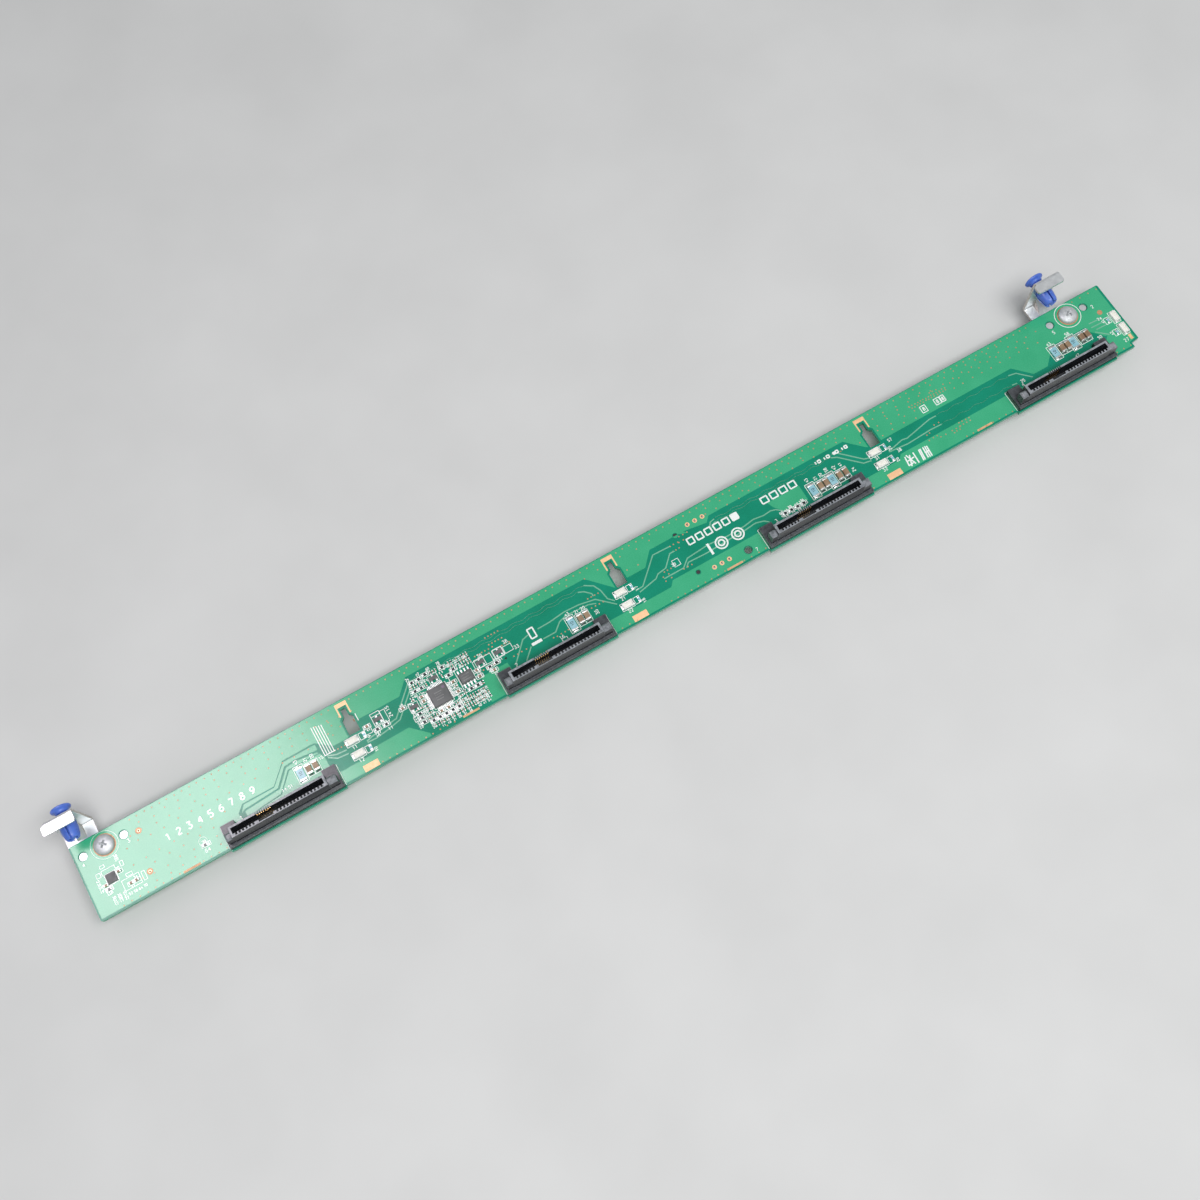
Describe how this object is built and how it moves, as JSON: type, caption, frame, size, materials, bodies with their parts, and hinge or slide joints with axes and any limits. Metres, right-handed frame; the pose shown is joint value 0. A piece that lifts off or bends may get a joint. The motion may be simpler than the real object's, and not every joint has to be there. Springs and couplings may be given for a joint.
{
  "type": "drive backplane board",
  "caption": "Long narrow backplane board with drive sockets in a row, status lights, keyhole hook slots and two folded brackets with blue snap plungers.",
  "frame": {"origin": "centre of the board's socket-side face", "axes": "+X along the board, +Y across it towards the brackets, +Z out of the face that carries the drive sockets"},
  "size_m": [0.4247, 0.0407, 0.0268],
  "materials": {
    "board_laminate": "glossy green solder mask over glass laminate",
    "socket_plastic": "moulded, fine matte",
    "header_plastic": "moulded, matte",
    "contact_gold": "gold flash",
    "led_white": "moulded white",
    "resistor_film": "glazed black",
    "resistor_blue": "light blue glaze",
    "capacitor_ceramic": "brown ceramic",
    "chip_mould": "moulded epoxy",
    "lead_tin": "tin plated",
    "bracket_steel": "zinc plated sheet",
    "screw_steel": "zinc plated",
    "cage_steel": "bright tin",
    "plunger_blue": "moulded blue nylon"
  },
  "bodies": {
    "root": {"circuit_board": "board_laminate", "drive_socket_housing_1": "socket_plastic", "signal_contacts_1": "contact_gold", "second_port_contacts_1": "contact_gold", "power_contacts_1": "contact_gold", "status_led_upper_1": "led_white", "status_led_lower_1": "led_white", "led_resistors_1": "resistor_film", "shunt_resistors_1": "resistor_blue", "filter_capacitors_1": "capacitor_ceramic", "drive_socket_housing_2": "socket_plastic", "signal_contacts_2": "contact_gold", "second_port_contacts_2": "contact_gold", "power_contacts_2": "contact_gold", "status_led_upper_2": "led_white", "status_led_lower_2": "led_white", "led_resistors_2": "resistor_film", "shunt_resistors_2": "resistor_blue", "filter_capacitors_2": "capacitor_ceramic", "drive_socket_housing_3": "socket_plastic", "signal_contacts_3": "contact_gold", "second_port_contacts_3": "contact_gold", "power_contacts_3": "contact_gold", "status_led_upper_3": "led_white", "status_led_lower_3": "led_white", "led_resistors_3": "resistor_film", "shunt_resistors_3": "resistor_blue", "filter_capacitors_3": "capacitor_ceramic", "drive_socket_housing_4": "socket_plastic", "signal_contacts_4": "contact_gold", "second_port_contacts_4": "contact_gold", "power_contacts_4": "contact_gold", "status_led_upper_4": "led_white", "status_led_lower_4": "led_white", "led_resistors_4": "resistor_film", "shunt_resistors_4": "resistor_blue", "filter_capacitors_4": "capacitor_ceramic", "controller_chip": "chip_mould", "controller_leads": "lead_tin", "memory_chip": "chip_mould", "memory_leads": "lead_tin", "sensor_chip": "chip_mould", "small_resistors": "resistor_film", "small_capacitors": "capacitor_ceramic", "transistors": "chip_mould", "transistor_leads": "lead_tin", "bracket_left": "bracket_steel", "bracket_screw_left": "screw_steel", "plunger_grommet_left": "plunger_blue", "bracket_right": "bracket_steel", "bracket_screw_right": "screw_steel", "plunger_grommet_right": "plunger_blue", "cable_socket_housing": "socket_plastic", "cable_socket_cage": "cage_steel", "cable_socket_contacts": "contact_gold", "power_header_housing": "header_plastic", "power_header_pins": "lead_tin"},
    "plunger_pin_left": {"plunger_pin_left": "plunger_blue"},
    "plunger_pin_right": {"plunger_pin_right": "plunger_blue"}
  },
  "joints": [
    {"name": "plunger_left_slide", "type": "slide", "parent": "root", "child": "plunger_pin_left", "axis": [0, 1, 0], "range_m": [-0.0008, 0.0042]},
    {"name": "plunger_right_slide", "type": "slide", "parent": "root", "child": "plunger_pin_right", "axis": [0, 1, 0], "range_m": [-0.0008, 0.0042]}
  ]
}
